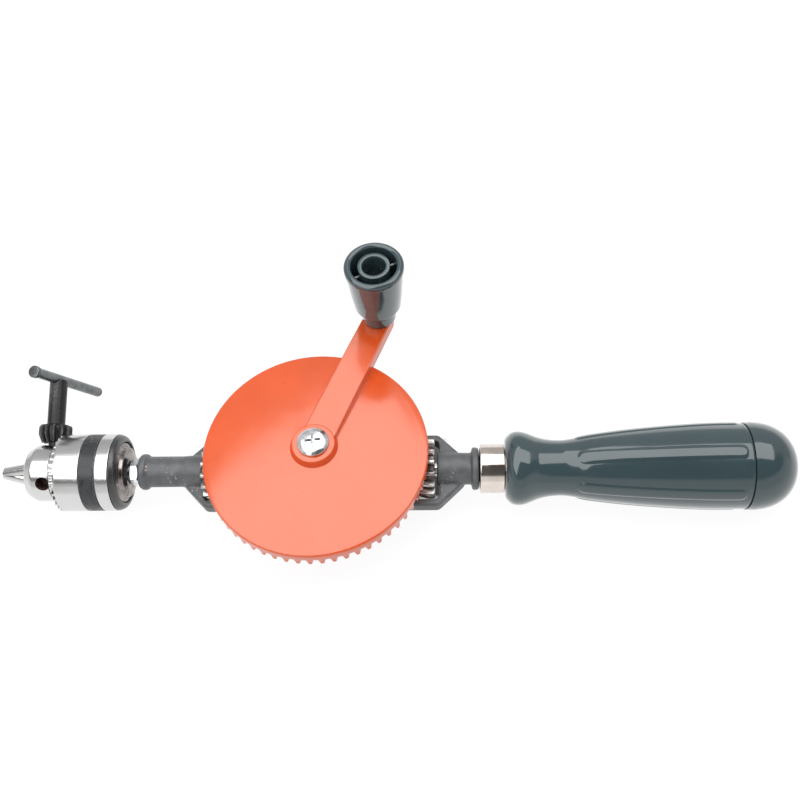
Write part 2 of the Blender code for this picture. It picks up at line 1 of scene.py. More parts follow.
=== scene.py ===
"""Looks for the hand drill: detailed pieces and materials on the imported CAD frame, with studio and camera.

Shapes are given in millimetres in the drill's own frame: its origin is where the spindle's axis crosses the
gear wheel's, X runs along the spindle towards the handle, and Z up along the wheel's axis.
"""

import json
import math

import bmesh
import bpy
from mathutils import Matrix, Vector


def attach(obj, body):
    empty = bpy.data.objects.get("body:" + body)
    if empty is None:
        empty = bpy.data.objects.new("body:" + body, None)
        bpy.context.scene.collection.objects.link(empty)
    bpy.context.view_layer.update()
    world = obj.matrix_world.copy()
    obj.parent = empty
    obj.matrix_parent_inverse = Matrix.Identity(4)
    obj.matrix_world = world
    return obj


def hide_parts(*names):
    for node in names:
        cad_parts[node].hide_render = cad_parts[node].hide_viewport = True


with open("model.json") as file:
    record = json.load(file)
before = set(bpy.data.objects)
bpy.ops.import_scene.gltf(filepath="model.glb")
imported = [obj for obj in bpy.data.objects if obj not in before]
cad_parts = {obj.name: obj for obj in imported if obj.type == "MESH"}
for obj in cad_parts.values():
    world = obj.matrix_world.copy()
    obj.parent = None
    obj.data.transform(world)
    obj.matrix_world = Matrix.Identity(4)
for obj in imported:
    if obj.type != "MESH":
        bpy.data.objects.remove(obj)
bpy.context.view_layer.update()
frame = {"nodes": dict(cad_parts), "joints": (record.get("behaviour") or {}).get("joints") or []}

JOINTS = {joint["name"]: joint for joint in frame["joints"]}
CROSSING = Vector(JOINTS["crank_spin"]["pos_m"])
DRILL = Matrix.Translation(CROSSING) @ Matrix.Scale(0.001, 4)
KNOB_AT = (Vector(JOINTS["knob_spin"]["pos_m"]) - CROSSING) * 1000
CRANK_ANGLE = math.atan2(KNOB_AT.y, KNOB_AT.x)
CRANK_R = math.hypot(KNOB_AT.x, KNOB_AT.y)
KEY_X = (JOINTS["key_turn"]["pos_m"][0] - CROSSING.x) * 1000
KEY_AXIS = Vector(JOINTS["key_turn"]["axis"])
KEY_ELEVATION = math.atan2(KEY_AXIS.z, KEY_AXIS.y)

ALONG_X = Matrix.Rotation(math.pi / 2, 4, "Y")
ALONG_MINUS_X = Matrix.Rotation(-math.pi / 2, 4, "Y")
PRESSURE_ANGLE = math.radians(20)
ADDENDUM_SHARE = 0.8
DEDENDUM_SHARE = 1.05
WHEEL_TEETH = 60
PINION_TEETH = 15
WHEEL_MODULE = 1.5
WHEEL_BACKLASH = 0.15
INNER_SHARE = 0.82
SLEEVE_TEETH = 33
SLEEVE_PITCH_R = 15.75
KEY_TEETH = 12
KEY_MODULE = 2 * SLEEVE_PITCH_R / SLEEVE_TEETH
KEY_BACKLASH = 0.12
ROUND_STEPS = 128

# Jaws: rods that slope in towards an apex on the drill's axis.
JAW_COUNT = 3
JAW_ROD_R = 2.5
JAW_BORE_R = 2.8
JAW_SLOPE = 0.25
JAW_APEX_X = -133.7
JAW_TIP_X = -134
JAW_REAR_X = -100.5
JAW_HALF_GAP = 0.17

# Key: its hole, and the direction and height of its bar in the key's own frame.
KEY_HOLE_R = 2.95
KEY_SHAFT_R = 3.65
KEY_BAR_ANGLE = math.radians(75.8)
KEY_BAR_HEIGHT = 40.3

# Low knurl of the chuck's black band.
BAND_LOW = -96.65
BAND_HIGH = -90.35
BAND_R = 16.06
KNURL_PITCH = 1.047
KNURL_DEPTH = 0.045

# Ribs along the handle.
GRIP_STEPS = 400
RIB_PITCH = math.pi / 3
RIB_ANGLE = math.radians(98.1)
RIB_HALF = 2.75
RIB_HEIGHT = 0.45
RIB_LOW = 105.0 + RIB_HALF
RIB_HIGH = 170.8 - RIB_HALF

# Domed end of the handle's cap, a superellipse.
CAP_STEPS = 160
CAP_RINGS = 32
CAP_FROM = 173.8
CAP_LENGTH = 20.3
CAP_R = 18.0
CAP_ALONG_POWER = 2.5
CAP_ACROSS_POWER = 2.15

# The camera: its place in millimetres in the drill's frame, its angles and its lens.
CAMERA_AT = Vector((52.41, -178.73, 352.44))
CAMERA_AZIMUTH = math.radians(5.268)
CAMERA_ELEVATION = math.radians(58.824)
CAMERA_ROLL = math.radians(-5.296)
CAMERA_LENS = 42.8
CAMERA_SENSOR = 36

# The glowing panel overhead, in metres from where the axes cross.
SOFTBOX_RADIANCE = 3.0
SOFTBOX_HEIGHT = 0.6
SOFTBOX_CORNERS = (
    (-0.794, -0.126),
    (0.08, 0.608),
    (0.18, 0.41),
    (0.68, 0.41),
    (0.66, -0.12),
    (0.1, -0.08),
    (-0.29, -0.726),
)

# The floor glows. Dark patches are drawn on it where the drill's shadow would be: low and high X, low and
# high Y and the width of the soft edge, in millimetres in the drill's frame.
FLOOR_HALF = 6
FLOOR_DROP = 0.0005
FLOOR_GLOW = 0.93
FLOOR_SHADE_DEPTH = 0.97
FLOOR_SHADE = (
    (-118, 190, 5, 17, 4),
    (-120, -88, -2, 24, 6),
    (-50, 53, -7, 25, 4),
    (82, 190, -2, 22, 6),
)

# Greys of the walls, from the horizon at 0 to straight up at 1, and how the front wall turns into the back
# one, by how far a direction points towards +Y.
FRONT_WALL = ((0.0, 0.85), (0.38, 0.75), (0.52, 0.12), (1.0, 0.08))
BACK_WALL = ((0.0, 0.5), (0.9, 0.6), (1.0, 0.1))
TOWARDS_BACK = ((0.02, 0.0), (0.25, 1.0))


# Materials ----------------------------------------------------------------------------------------


class Surface:
    """A Principled material, and short ways to add nodes to it.

    Texture coordinates are the object's, in metres.
    """

    def __init__(self, name, **inputs):
        self.material = bpy.data.materials.new(name)
        self.material.use_nodes = True
        self.tree = self.material.node_tree
        self.shader = self.tree.nodes["Principled BSDF"]
        self.coordinates = self.add("ShaderNodeTexCoord").outputs["Object"]
        for socket, value in inputs.items():
            self.put(self.shader.inputs[socket.replace("_", " ")], value)

    def put(self, socket, value):
        if isinstance(value, bpy.types.NodeSocket):
            self.tree.links.new(value, socket)
        elif socket.type == "RGBA":
            socket.default_value = (*value, 1)
        else:
            socket.default_value = value

    def add(self, kind, inputs=None, **settings):
        node = self.tree.nodes.new(kind)
        for name, value in settings.items():
            setattr(node, name, value)
        for name, value in (inputs or {}).items():
            self.put(node.inputs[name], value)
        return node

    def noise(self, size, detail=3.0, stretch=(1, 1, 1)):
        """Noise from 0 to 1 whose features are about this size, in metres."""
        mapping = self.add("ShaderNodeMapping", {"Vector": self.coordinates, "Scale": stretch})
        inputs = {
            "Vector": mapping.outputs[0],
            "Scale": 1 / size,
            "Detail": detail,
            "Roughness": 0.55,
        }
        return self.add("ShaderNodeTexNoise", inputs).outputs["Fac"]

    def ramp(self, value, *stops):
        """A colour, or a grey, read from stops of (position, value)."""
        ramp = self.add("ShaderNodeValToRGB", {"Fac": value})
        elements = ramp.color_ramp.elements
        while len(elements) < len(stops):
            elements.new(0.5)
        for element, (position, colour) in zip(elements, stops):
            element.position = position
            element.color = (*colour, 1) if isinstance(colour, tuple) else (colour, colour, colour, 1)
        return ramp.outputs["Color"]

    def mix(self, share, first, second):
        node = self.add("ShaderNodeMix", data_type="RGBA")
        self.put(node.inputs[0], share)
        self.put(node.inputs[6], first)
        self.put(node.inputs[7], second)
        return node.outputs[2]

    def math(self, operation, first, second=0.0):
        node = self.add("ShaderNodeMath", operation=operation)
        self.put(node.inputs[0], first)
        self.put(node.inputs[1], second)
        return node.outputs[0]

    def bump(self, height, distance):
        """Raises the surface by up to this distance, in metres, on top of any bump that is there."""
        inputs = {"Height": height, "Distance": distance, "Strength": 1.0}
        normal = self.shader.inputs["Normal"]
        if normal.links:
            inputs["Normal"] = normal.links[0].from_socket
        self.put(normal, self.add("ShaderNodeBump", inputs).outputs["Normal"])

    def colour(self, value):
        self.put(self.shader.inputs["Base Color"], value)

    def rough(self, value):
        self.put(self.shader.inputs["Roughness"], value)

    def edges(self, low, high):
        """0 on flats and 1 on outer edges, from how much the mesh sticks out."""
        pointiness = self.add("ShaderNodeNewGeometry").outputs["Pointiness"]
        return self.ramp(pointiness, (low, 0.0), (high, 1.0))

    def axis_distance(self):
        """The distance from the drill's axis, in metres."""
        parts = self.add("ShaderNodeSeparateXYZ", {0: self.coordinates})
        across = self.math("SUBTRACT", parts.outputs["Y"], CROSSING.y)
        above = self.math("SUBTRACT", parts.outputs["Z"], CROSSING.z)
        squares = [self.math("MULTIPLY", part, part) for part in (across, above)]
        return self.math("SQRT", self.math("ADD", *squares))

    def turning_lines(self, pitch, depth):
        """Fine tool marks round the drill's axis."""
        along = self.add("ShaderNodeSeparateXYZ", {0: self.coordinates}).outputs["X"]
        outward = self.axis_distance()
        place = self.math("ADD", along, self.math("MULTIPLY", outward, 0.9))
        lines = self.add("ShaderNodeTexNoise", noise_dimensions="1D")
        self.put(lines.inputs["W"], place)
        self.put(lines.inputs["Scale"], 1 / pitch)
        self.put(lines.inputs["Detail"], 4.0)
        self.bump(lines.outputs["Fac"], depth)
        return lines.outputs["Fac"]


def wheel_paint():
    paint = Surface("orange_red_paint", Specular_IOR_Level=1.0, Specular_Tint=(1.0, 0.98, 0.9))
    tone = paint.noise(0.02, 4)
    body = paint.ramp(tone, (0.3, (0.62, 0.076, 0.013)), (0.7, (0.68, 0.088, 0.017)))
    specks = paint.add("ShaderNodeTexVoronoi", {"Vector": paint.coordinates, "Scale": 95.0})
    spots = paint.ramp(specks.outputs["Distance"], (0.028, 1.0), (0.045, 0.0))
    body = paint.mix(paint.math("MULTIPLY", spots, 0.55), body, (0.50, 0.03, 0.008))
    paint.colour(body)
    paint.rough(paint.ramp(paint.noise(0.006, 5), (0.3, 0.15), (0.7, 0.21)))
    paint.bump(paint.noise(0.0011, 2), 0.000012)
    paint.bump(paint.noise(0.016, 2), 0.00009)
    return paint.material


def frame_paint():
    paint = Surface("satin_grey_paint", Specular_IOR_Level=0.55)
    tone = paint.noise(0.004, 5)
    grey = paint.ramp(tone, (0.3, (0.068, 0.074, 0.079)), (0.72, (0.110, 0.117, 0.123)))
    paint.rough(paint.ramp(paint.noise(0.0012, 3), (0.35, 0.36), (0.7, 0.52)))
    specks = paint.ramp(paint.noise(0.0011, 2), (0.62, 0.0), (0.67, 1.0))
    worn = paint.ramp(paint.noise(0.013, 2), (0.54, 0.0), (0.62, 1.0))
    chipped = paint.math("MULTIPLY", specks, worn)
    paint.colour(paint.mix(chipped, grey, (0.45, 0.36, 0.32)))
    paint.put(paint.shader.inputs["Metallic"], paint.math("MULTIPLY", chipped, 0.7))
    paint.bump(paint.noise(0.0009, 4), 0.00005)
    paint.bump(paint.noise(0.006, 2), 0.00012)
    return paint.material


def ground_steel(name="ground_steel", shaded_from=None):
    """Bright turned steel. From this X on, in millimetres, it is darker and brown: painted shade, standing in
    for the shadowed floor that the rear of the chuck reflects.
    """
    steel = Surface(name, Metallic=1.0)
    lines = steel.turning_lines(0.00022, 0.0000012)
    stain = steel.noise(0.007, 5)
    bright = steel.ramp(lines, (0.3, (0.60, 0.60, 0.60)), (0.7, (0.74, 0.735, 0.73)))
    colour = steel.mix(steel.ramp(stain, (0.5, 0.0), (0.8, 0.35)), bright, (0.50, 0.49, 0.47))
    if shaded_from is not None:
        along = steel.add("ShaderNodeSeparateXYZ", {0: steel.coordinates}).outputs["X"]
        past = steel.math("GREATER_THAN", along, CROSSING.x + shaded_from / 1000)
        # Painted shade on the rear of the chuck: darker, brownish steel.
        painted_shade = steel.ramp(steel.noise(0.0035, 5), (0.35, (0.15, 0.125, 0.115)), (0.65, (0.36, 0.34, 0.33)))
        colour = steel.mix(past, colour, painted_shade)
    steel.colour(colour)
    steel.rough(steel.ramp(lines, (0.25, 0.14), (0.75, 0.25)))
    return steel.material


def black_oxide(name, light, worn, metallic=0.0, gloss=0.9):
    oxide = Surface(name, Metallic=metallic, Specular_IOR_Level=gloss)
    tone = oxide.noise(0.003, 5)
    dark = tuple(channel * 0.5 for channel in light)
    body = oxide.ramp(tone, (0.3, dark), (0.7, light))
    patchy = oxide.ramp(oxide.noise(0.0012, 3), (0.35, 0.2), (0.6, 1.0))
    # Outer edges take the lighter worn colour: worn oxide, and also a painted highlight along the edges.
    wear_and_edge_highlight = oxide.math("MULTIPLY", oxide.edges(0.52, 0.62), patchy)
    oxide.colour(oxide.mix(wear_and_edge_highlight, body, worn))
    oxide.rough(oxide.ramp(oxide.noise(0.0015, 4), (0.3, 0.20), (0.7, 0.36)))
    oxide.bump(oxide.noise(0.0007, 4), 0.00002)
    return oxide.material


def gear_steel():
    """Bright on the tips of the teeth, with old brown grease in the gaps and on the hub."""
    steel = Surface("greased_gear_steel", Metallic=0.9)
    depth = steel.ramp(steel.math("MULTIPLY", steel.axis_distance(), 50), (0.46, 0.0), (0.57, 1.0))
    patch = steel.ramp(steel.noise(0.0025, 4), (0.35, 0.55), (0.65, 1.0))
    clean = steel.math("MULTIPLY", depth, patch)
    steel.colour(steel.mix(clean, (0.045, 0.028, 0.022), (0.66, 0.63, 0.61)))
    steel.rough(steel.ramp(clean, (0.0, 0.42), (1.0, 0.24)))
    steel.bump(steel.noise(0.0008, 3), 0.00002)
    return steel.material


def plated(name, colour, stain, roughness, size):
    metal = Surface(name, Metallic=1.0)
    cloud = metal.noise(size, 5)
    metal.colour(metal.ramp(cloud, (0.35, stain), (0.6, colour)))
    metal.rough(metal.ramp(metal.noise(size / 3, 4), (0.3, roughness * 0.7), (0.7, roughness * 1.5)))
    metal.bump(metal.noise(size / 2, 2), 0.000012)
    return metal.material


def handle_plastic():
    plastic = Surface("dark_green_grey_plastic", Specular_IOR_Level=0.3, Coat_Weight=1.0, Coat_Roughness=0.05)
    tone = plastic.noise(0.03, 3)
    plastic.colour(plastic.ramp(tone, (0.3, (0.031, 0.053, 0.060)), (0.7, (0.037, 0.063, 0.071))))
    scuffs = plastic.noise(0.0016, 5, stretch=(0.25, 1, 1))
    plastic.rough(plastic.ramp(scuffs, (0.4, 0.12), (0.75, 0.26)))
    plastic.bump(plastic.noise(0.009, 2), 0.00004)
    plastic.bump(plastic.noise(0.0009, 2), 0.0000025)
    return plastic.material


def painted_hole_shade():
    # Painted shade: a dark brown colour for the insides of the key holes.
    bore = Surface("painted_hole_shade", Metallic=0.3)
    bore.colour(bore.ramp(bore.noise(0.001, 4), (0.3, (0.02, 0.011, 0.008)), (0.7, (0.10, 0.055, 0.04))))
    bore.rough(bore.ramp(bore.noise(0.002, 3), (0.3, 0.4), (0.7, 0.6)))
    return bore.material


PAINT = wheel_paint()
CASTING = frame_paint()
STEEL = ground_steel()
CHUCK_STEEL = ground_steel("chuck_body_steel", shaded_from=-84.5)
OXIDE = black_oxide("black_oxide", (0.030, 0.032, 0.034), (0.30, 0.31, 0.32))
KEY_OXIDE = black_oxide("oiled_key_oxide", (0.024, 0.024, 0.026), (0.22, 0.22, 0.23), gloss=0.25)
BAND = black_oxide("etched_black_band", (0.040, 0.043, 0.046), (0.20, 0.20, 0.205), gloss=0.4)
BAR_STEEL = black_oxide("dull_bar_steel", (0.20, 0.215, 0.22), (0.36, 0.38, 0.39), 0.75)
GEAR_STEEL = gear_steel()
ZINC = plated("bright_zinc", (0.86, 0.88, 0.90), (0.62, 0.65, 0.68), 0.2, 0.004)
NICKEL = plated("polished_nickel", (0.80, 0.73, 0.675), (0.70, 0.62, 0.56), 0.09, 0.01)
PLASTIC = handle_plastic()
HOLE_SHADE = painted_hole_shade()


# Shapes -------------------------------------------------------------------------------------------


def rounded(points, closed=False, steps=5):
    """An outline of (x, y, radius) points with its corners rounded. The radius may be left out."""
    result = []
    count = len(points)
    for i, (x, y, *radius) in enumerate(points):
        here = Vector((x, y))
        at_end = not closed and i in (0, count - 1)
        if not radius or at_end:
            result.append(here)
            continue
        before = Vector(points[i - 1][:2]) - here
        after = Vector(points[(i + 1) % count][:2]) - here
        turn = math.pi - before.angle(after)
        reach = radius[0] * math.tan(turn / 2)
        reach = min(reach, 0.49 * before.length, 0.49 * after.length)
        start, end = here + before.normalized() * reach, here + after.normalized() * reach
        for j in range(steps + 1):
            t = j / steps
            result.append(start.lerp(here, t).lerp(here.lerp(end, t), t))
    return result


def smooth_curve(points, x):
    """The height at x of a smooth curve through points."""
    if x <= points[0][0]:
        return points[0][1]
    if x >= points[-1][0]:
        return points[-1][1]
    i = max(k for k in range(len(points) - 1) if points[k][0] <= x)

    def slope(k):
        low, high = max(k - 1, 0), min(k + 1, len(points) - 1)
        return (points[high][1] - points[low][1]) / (points[high][0] - points[low][0])

    (x0, y0), (x1, y1) = points[i], points[i + 1]
    width = x1 - x0
    t = (x - x0) / width
    return (
        y0 * (1 + 2 * t) * (1 - t) ** 2
        + y1 * t * t * (3 - 2 * t)
        + slope(i) * width * t * (1 - t) ** 2
        - slope(i + 1) * width * t * t * (1 - t)
    )


def skin(bm, rings, closed=False):
    """A surface through rings of points. A ring of one point is a pole."""
    loops = [[bm.verts.new(point) for point in ring] for ring in rings]
    pairs = list(zip(loops, loops[1:]))
    if closed:
        pairs.append((loops[-1], loops[0]))
    for first, second in pairs:
        count = max(len(first), len(second))
        for i in range(count):
            j = (i + 1) % count
            if len(first) == 1:
                bm.faces.new((first[0], second[i], second[j]))
            elif len(second) == 1:
                bm.faces.new((first[i], first[j], second[0]))
            else:
                bm.faces.new((first[i], first[j], second[j], second[i]))
    bmesh.ops.recalc_face_normals(bm, faces=bm.faces)
    return bm


def circle(height, radius, steps=ROUND_STEPS):
    if radius == 0:
        return [Vector((0, 0, height))]
    angles = [2 * math.pi * i / steps for i in range(steps)]
    return [Vector((radius * math.cos(a), radius * math.sin(a), height)) for a in angles]


def lathe(profile, steps=ROUND_STEPS):
    """Turns an outline of (height, radius, corner radius) about Z. It is open if it starts on the axis."""
    is_open = profile[0][1] == 0
    outline = rounded(profile, closed=not is_open)
    return skin(bmesh.new(), [circle(h, r, steps) for h, r in outline], closed=not is_open)


def inset(outline, amount):
    """An anticlockwise outline moved inwards."""
    result = []
    for i, here in enumerate(outline):
        along = outline[(i + 1) % len(outline)] - outline[i - 1]
        result.append(here + Vector((-along.y, along.x)).normalized() * amount)
    return result


def prism(outline, low, high, chamfer=0.0):
    """An outline made solid between two heights, with chamfered edges."""
    layers = [(low, 0.0), (high, 0.0)]
    if chamfer:
        layers = [(low, chamfer), (low + chamfer, 0), (high - chamfer, 0), (high, chamfer)]
    bm = bmesh.new()
    rings = [[Vector((*p, z)) for p in inset(outline, amount)] for z, amount in layers]
    skin(bm, rings)
    bm.verts.ensure_lookup_table()
    count = len(outline)
    bm.faces.new(bm.verts[:count])
    bm.faces.new(bm.verts[-count:])
    bmesh.ops.recalc_face_normals(bm, faces=bm.faces)
    return bm


def moved(bm, matrix):
    bmesh.ops.transform(bm, matrix=matrix, verts=bm.verts)
    if matrix.determinant() < 0:
        bmesh.ops.reverse_faces(bm, faces=bm.faces)
    return bm


def rod(start, end, radius, steps=48):
    start, end = Vector(start), Vector(end)
    length = (end - start).length
    rings = [circle(0, 0), circle(0, radius, steps), circle(length, radius, steps), circle(length, 0)]
    turn = (end - start).to_track_quat("Z", "Y").to_matrix().to_4x4()
    return moved(skin(bmesh.new(), rings), Matrix.Translation(start) @ turn)


def mesh_object(name, bm, material=None):
    mesh = bpy.data.meshes.new(name)
    bm.to_mesh(mesh)
    bm.free()
    obj = bpy.data.objects.new(name, mesh)
    bpy.context.scene.collection.objects.link(obj)
    if material is not None:
        mesh.materials.append(material)
    return obj


def apply_modifiers(obj):
    bpy.context.view_layer.update()
    evaluated = obj.evaluated_get(bpy.context.evaluated_depsgraph_get())
    mesh = bpy.data.meshes.new_from_object(evaluated)
    obj.modifiers.clear()
    obj.data = mesh


def add_bevel(obj, width, segments, angle):
    """Rounds the edges that are sharper than this angle, in degrees."""
    bevel = obj.modifiers.new("edges", "BEVEL")
    bevel.width = width
    bevel.segments = segments
    bevel.limit_method = "ANGLE"
    bevel.angle_limit = math.radians(angle)


def combine(obj, operation, *others):
    """Booleans other bmeshes into an object, one after another."""
    helpers = []
    for i, other in enumerate(others):
        helper = mesh_object(f"{obj.name}_helper_{i}", other)
        modifier = obj.modifiers.new(f"{operation}_{i}", "BOOLEAN")
        modifier.operation = operation
        modifier.object = helper
        helpers.append(helper)
    apply_modifiers(obj)
    for helper in helpers:
        bpy.data.objects.remove(helper, do_unlink=True)


def piece(obj, body, slot, *nodes, sharp=32):
    """Puts a finished shape in its place on a body, in place of these CAD nodes."""
    obj.data.transform(DRILL)
    obj.data.shade_smooth()
    obj.data.set_sharp_from_angle(angle=math.radians(sharp))
    normals = obj.modifiers.new("normals", "WEIGHTED_NORMAL")
    normals.keep_sharp = True
    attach(obj, body)
    if nodes:
        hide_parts(*nodes)
    return obj


class BevelGear:
    """Sections of a straight bevel gear whose apex is the origin and whose teeth face back towards it."""

    def __init__(self, teeth, mate, module, backlash, phase=0.0, tip_round=0.45, root_round=0.35):
        self.cone = math.atan2(teeth, mate)
        self.pitch_r = module * teeth / 2
        self.virtual_r = self.pitch_r / math.cos(self.cone)
        self.back_apex = self.pitch_r / math.tan(self.cone) + self.pitch_r * math.tan(self.cone)
        self.half_thickness = (math.pi * module / 4 - backlash) / self.virtual_r
        low, high = -DEDENDUM_SHARE * module, ADDENDUM_SHARE * module
        middle = (low + high) / 2
        tooth = []
        for side, levels in ((-1, (low, middle, high)), (1, (high, middle, low))):
            for level in levels:
                corner = {low: (root_round,), high: (tip_round,)}.get(level, ())
                angle = side * self.half_angle(self.virtual_r + level)
                tooth.append((angle * self.pitch_r, level, *corner))
        pitch = 2 * math.pi * self.pitch_r / teeth
        near, far = tooth[-1], tooth[0]
        tooth = [(near[0] - pitch, near[1])] + tooth + [(far[0] + pitch, far[1])]
        outline = rounded(tooth, steps=4)[1:-1]
        self.outline = [
            (phase + 2 * math.pi * i / teeth + point.x / self.pitch_r, self.virtual_r + point.y)
            for i in range(teeth)
            for point in outline
        ]

    def half_angle(self, radius):
        base_r = self.virtual_r * math.cos(PRESSURE_ANGLE)
        angle = math.acos(min(1, base_r / radius))
        roll = math.tan(PRESSURE_ANGLE) - PRESSURE_ANGLE - math.tan(angle) + angle
        return (self.half_thickness + roll) / math.cos(self.cone)

    def section(self, share):
        """The toothed outline at a share of the outer cone distance."""
        return [
            Vector(
                (
                    radius * math.cos(self.cone) * share * math.cos(angle),
                    radius * math.cos(self.cone) * share * math.sin(angle),
                    (self.back_apex - radius * math.sin(self.cone)) * share,
                )
            )
            for angle, radius in self.outline
        ]

    def ring(self, height, radius):
        """A round ring with as many points as the toothed outline."""
        return [Vector((radius * math.cos(a), radius * math.sin(a), height)) for a, _ in self.outline]

    def turned(self, profile, steps=5):
        """Round rings through an outline of (height, radius, corner radius)."""
        return [self.ring(h, r) for h, r in rounded(profile, steps=steps)]


def at_height(points, height, spread=1.0):
    return [Vector((p.x * spread, p.y * spread, height)) for p in points]


# Pieces -------------------------------------------------------------------------------------------


def make_wheel():
    gear = BevelGear(WHEEL_TEETH, PINION_TEETH, WHEEL_MODULE, WHEEL_BACKLASH)
    dome = [(9.6, 20.9), (20, 20.4), (30, 19.7), (38, 18.9), (43.4, 18.15)]
    rings = gear.turned([(8.4, 4.1), (23.9, 4.1, 0.2), (23.9, 8.5, 0.5), (20.9, 9.6)])
    radius = 10.4
    while radius < 43.2:
        rings.append(gear.ring(smooth_curve(dome, radius), radius))
        radius += 1.3
    rim = [(smooth_curve(dome, 43.4), 43.4), (17.75, 45.4, 1.0), (14.6, 45.4)]
    rings += gear.turned(rim, steps=7)
    rings += [gear.ring(13.4, 45.15), gear.section(1), gear.section(INNER_SHARE)]
    underside = [(14.6, 34), (16.4, 12.5, 2), (15.6, 9.2, 1), (8.4, 9.2, 0.4), (8.4, 4.1)]
    rings += gear.turned(underside)[:-1]
    wheel = mesh_object("painted_crank_wheel", skin(bmesh.new(), rings, closed=True), PAINT)
    along = Vector((math.cos(CRANK_ANGLE), math.sin(CRANK_ANGLE)))
    across = Vector((-along.y, along.x))
    outline = [along * 5 - across * 6.6, along * CRANK_R - across * 6.1]
    for i in range(1, 16):
        angle = math.pi * (i / 16 - 0.5)
        outline.append(along * (CRANK_R + 6.1 * math.cos(angle)) + across * 6.1 * math.sin(angle))
    outline += [along * CRANK_R + across * 6.1, along * 5 + across * 6.6]
    arm = mesh_object("crank_arm_bar", prism(outline, 16.9, 23.3))
    add_bevel(arm, 0.55, 4, 50)
    modifier = wheel.modifiers.new("arm", "BOOLEAN")
    modifier.operation = "UNION"
    modifier.object = arm
    apply_modifiers(wheel)
    bpy.data.objects.remove(arm, do_unlink=True)
    combine(wheel, "DIFFERENCE", rod((KNOB_AT.x, KNOB_AT.y, 10), (KNOB_AT.x, KNOB_AT.y, 30), 3.3))
    piece(wheel, "crank", "orange_red_paint", "crank_wheel")


def cross_cutter(top, bottom, long_half, short_half):
    """A cross recess that tapers to a point."""

    def cross(height, reach, width):
        points = []
        for i in range(4):
            out = Vector((math.cos(math.pi * i / 2), math.sin(math.pi * i / 2), 0))
            side = Vector((-out.y, out.x, 0))
            points += [out * reach - side * width, out * reach + side * width, out * width + side * width]
        return [point + Vector((0, 0, height)) for point in points]

    rings = [cross(top, long_half, short_half), cross(bottom, short_half * 1.3, short_half * 0.7)]
    return skin(bmesh.new(), [[Vector((0, 0, top))], *rings, [Vector((0, 0, bottom - 0.5))]])


def make_axle_screw():
    profile = [
        (-12.9, 0),
        (-12.9, 3.0, 0.5),
        (8.3, 3.0),
        (8.3, 3.8),
        (24.2, 3.8),
        (24.2, 6.3, 0.2),
        (25.05, 6.3, 0.35),
        (26.1, 4.8, 2.5),
        (26.5, 2.2, 2.5),
        (26.5, 0),
    ]
    screw = mesh_object("axle_screw_body", lathe(profile), ZINC)
    turn = Matrix.Rotation(CRANK_ANGLE + 0.5, 4, "Z")
    combine(screw, "DIFFERENCE", moved(cross_cutter(27.0, 23.6, 3.7, 0.62), turn))
    piece(screw, "frame", "bright_zinc", "axle_screw")


def make_knob():
    profile = [
        (23.65, 3.4),
        (23.65, 7.3, 0.3),
        (29.7, 7.6, 0.8),
        (30.1, 6.4, 0.3),
        (31.9, 6.4, 0.4),
        (32.4, 9.9, 1.2),
        (42.15, 10.9),
        (54.6, 11.8, 0.3),
        (55.1, 12.2, 0.5),
        (56.8, 12.1, 1.2),
        (57.75, 10.6, 1.2),
        (56.9, 9.35, 0.9),
        (54.0, 9.2, 0.9),
        (34.2, 8.4, 0.4),
        (34.2, 6.9, 0.4),
        (56.75, 6.6, 0.35),
        (56.75, 4.9, 0.35),
        (55.6, 4.6, 0.3),
        (35.0, 4.6),
        (35.0, 3.4),
    ]
    at = Matrix.Translation((KNOB_AT.x, KNOB_AT.y, 0))
    knob = mesh_object("moulded_crank_knob", moved(lathe(profile, 112), at), PLASTIC)
    ribs = []
    for i in range(4):
        angle = CRANK_ANGLE + math.pi * (i + 0.5) / 2
        outline = [Vector(p) for p in ((6.2, -0.45), (9.5, -0.45), (9.5, 0.45), (6.2, 0.45))]
        ribs.append(moved(prism(outline, 33.8, 53.5), at @ Matrix.Rotation(angle, 4, "Z")))
    combine(knob, "UNION", *ribs)
    piece(knob, "knob", "dark_plastic", "crank_knob")
    head = [(17.2, 0), (17.2, 2.9), (36.2, 2.9), (36.2, 4.2, 0.1), (39.2, 4.2, 0.9), (39.2, 0)]
    screw = mesh_object("knob_screw_body", moved(lathe(head, 64), at), ZINC)
    combine(screw, "DIFFERENCE", moved(cross_cutter(39.6, 37.2, 2.4, 0.45), at))
    piece(screw, "crank", "bright_zinc", "knob_screw")


